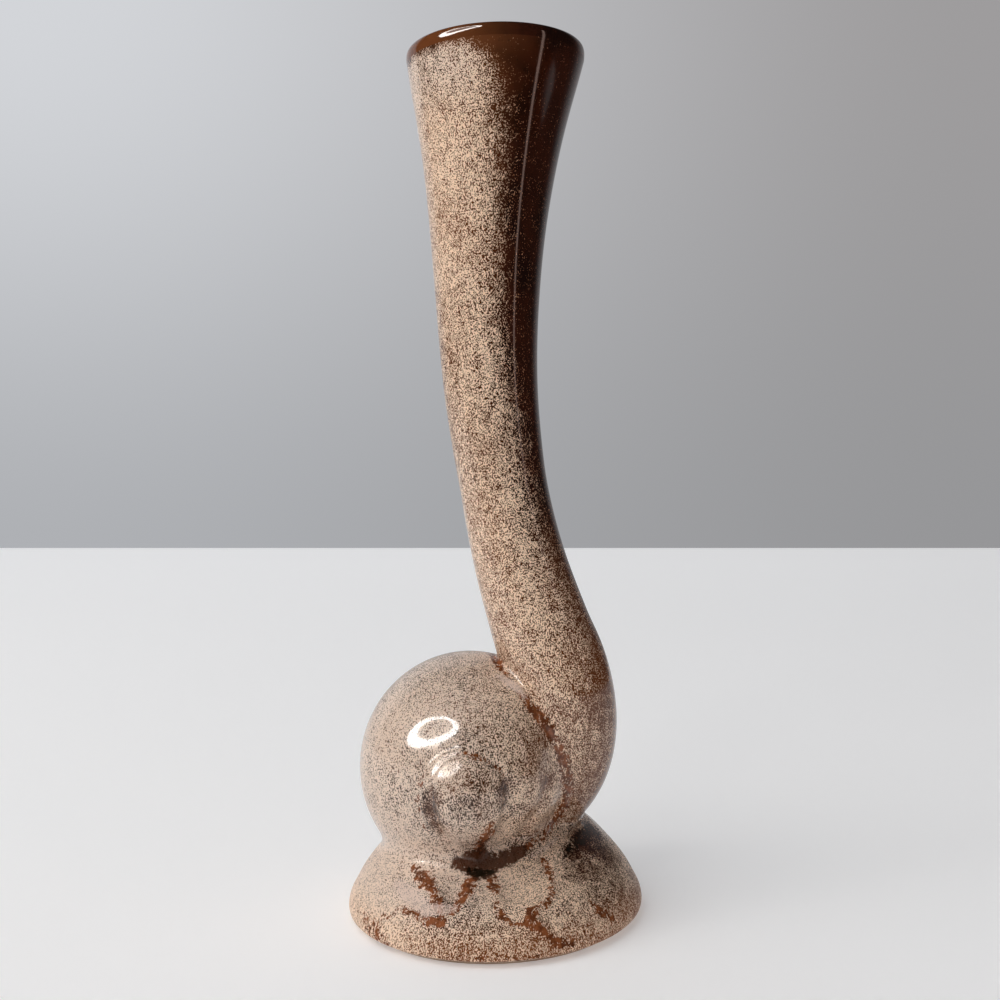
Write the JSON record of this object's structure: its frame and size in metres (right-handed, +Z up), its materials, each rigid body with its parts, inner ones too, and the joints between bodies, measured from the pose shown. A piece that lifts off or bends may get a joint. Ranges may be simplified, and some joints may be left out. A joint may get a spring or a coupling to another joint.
{
  "type": "bud vase",
  "caption": "Tall bud vase in the shape of a coiled snail shell on a low domed foot, with a slender neck flaring to a round mouth.",
  "frame": {"origin": "under the middle of the foot, on the plane it stands on", "axes": "+Z up along the neck, +X to the right and -Y to the front, where the shell's tip points"},
  "size_m": [0.0594, 0.0656, 0.1754],
  "materials": {
    "speckled_glaze": "glossy, beige-pink spray coat speckled over dark red-brown",
    "dark_glaze": "glossy dark red-brown",
    "rust_glaze": "glossy rust brown where the spray coat breaks",
    "bare_clay": "matt unglazed clay"
  },
  "bodies": {
    "root": {"lip": "dark_glaze", "neck": "speckled_glaze", "last_turn": "speckled_glaze", "seam_bead": "rust_glaze", "shell": "speckled_glaze", "tip": "speckled_glaze", "foot": "speckled_glaze", "floor_slab": "bare_clay", "foot_ring": "bare_clay"}
  },
  "joints": []
}
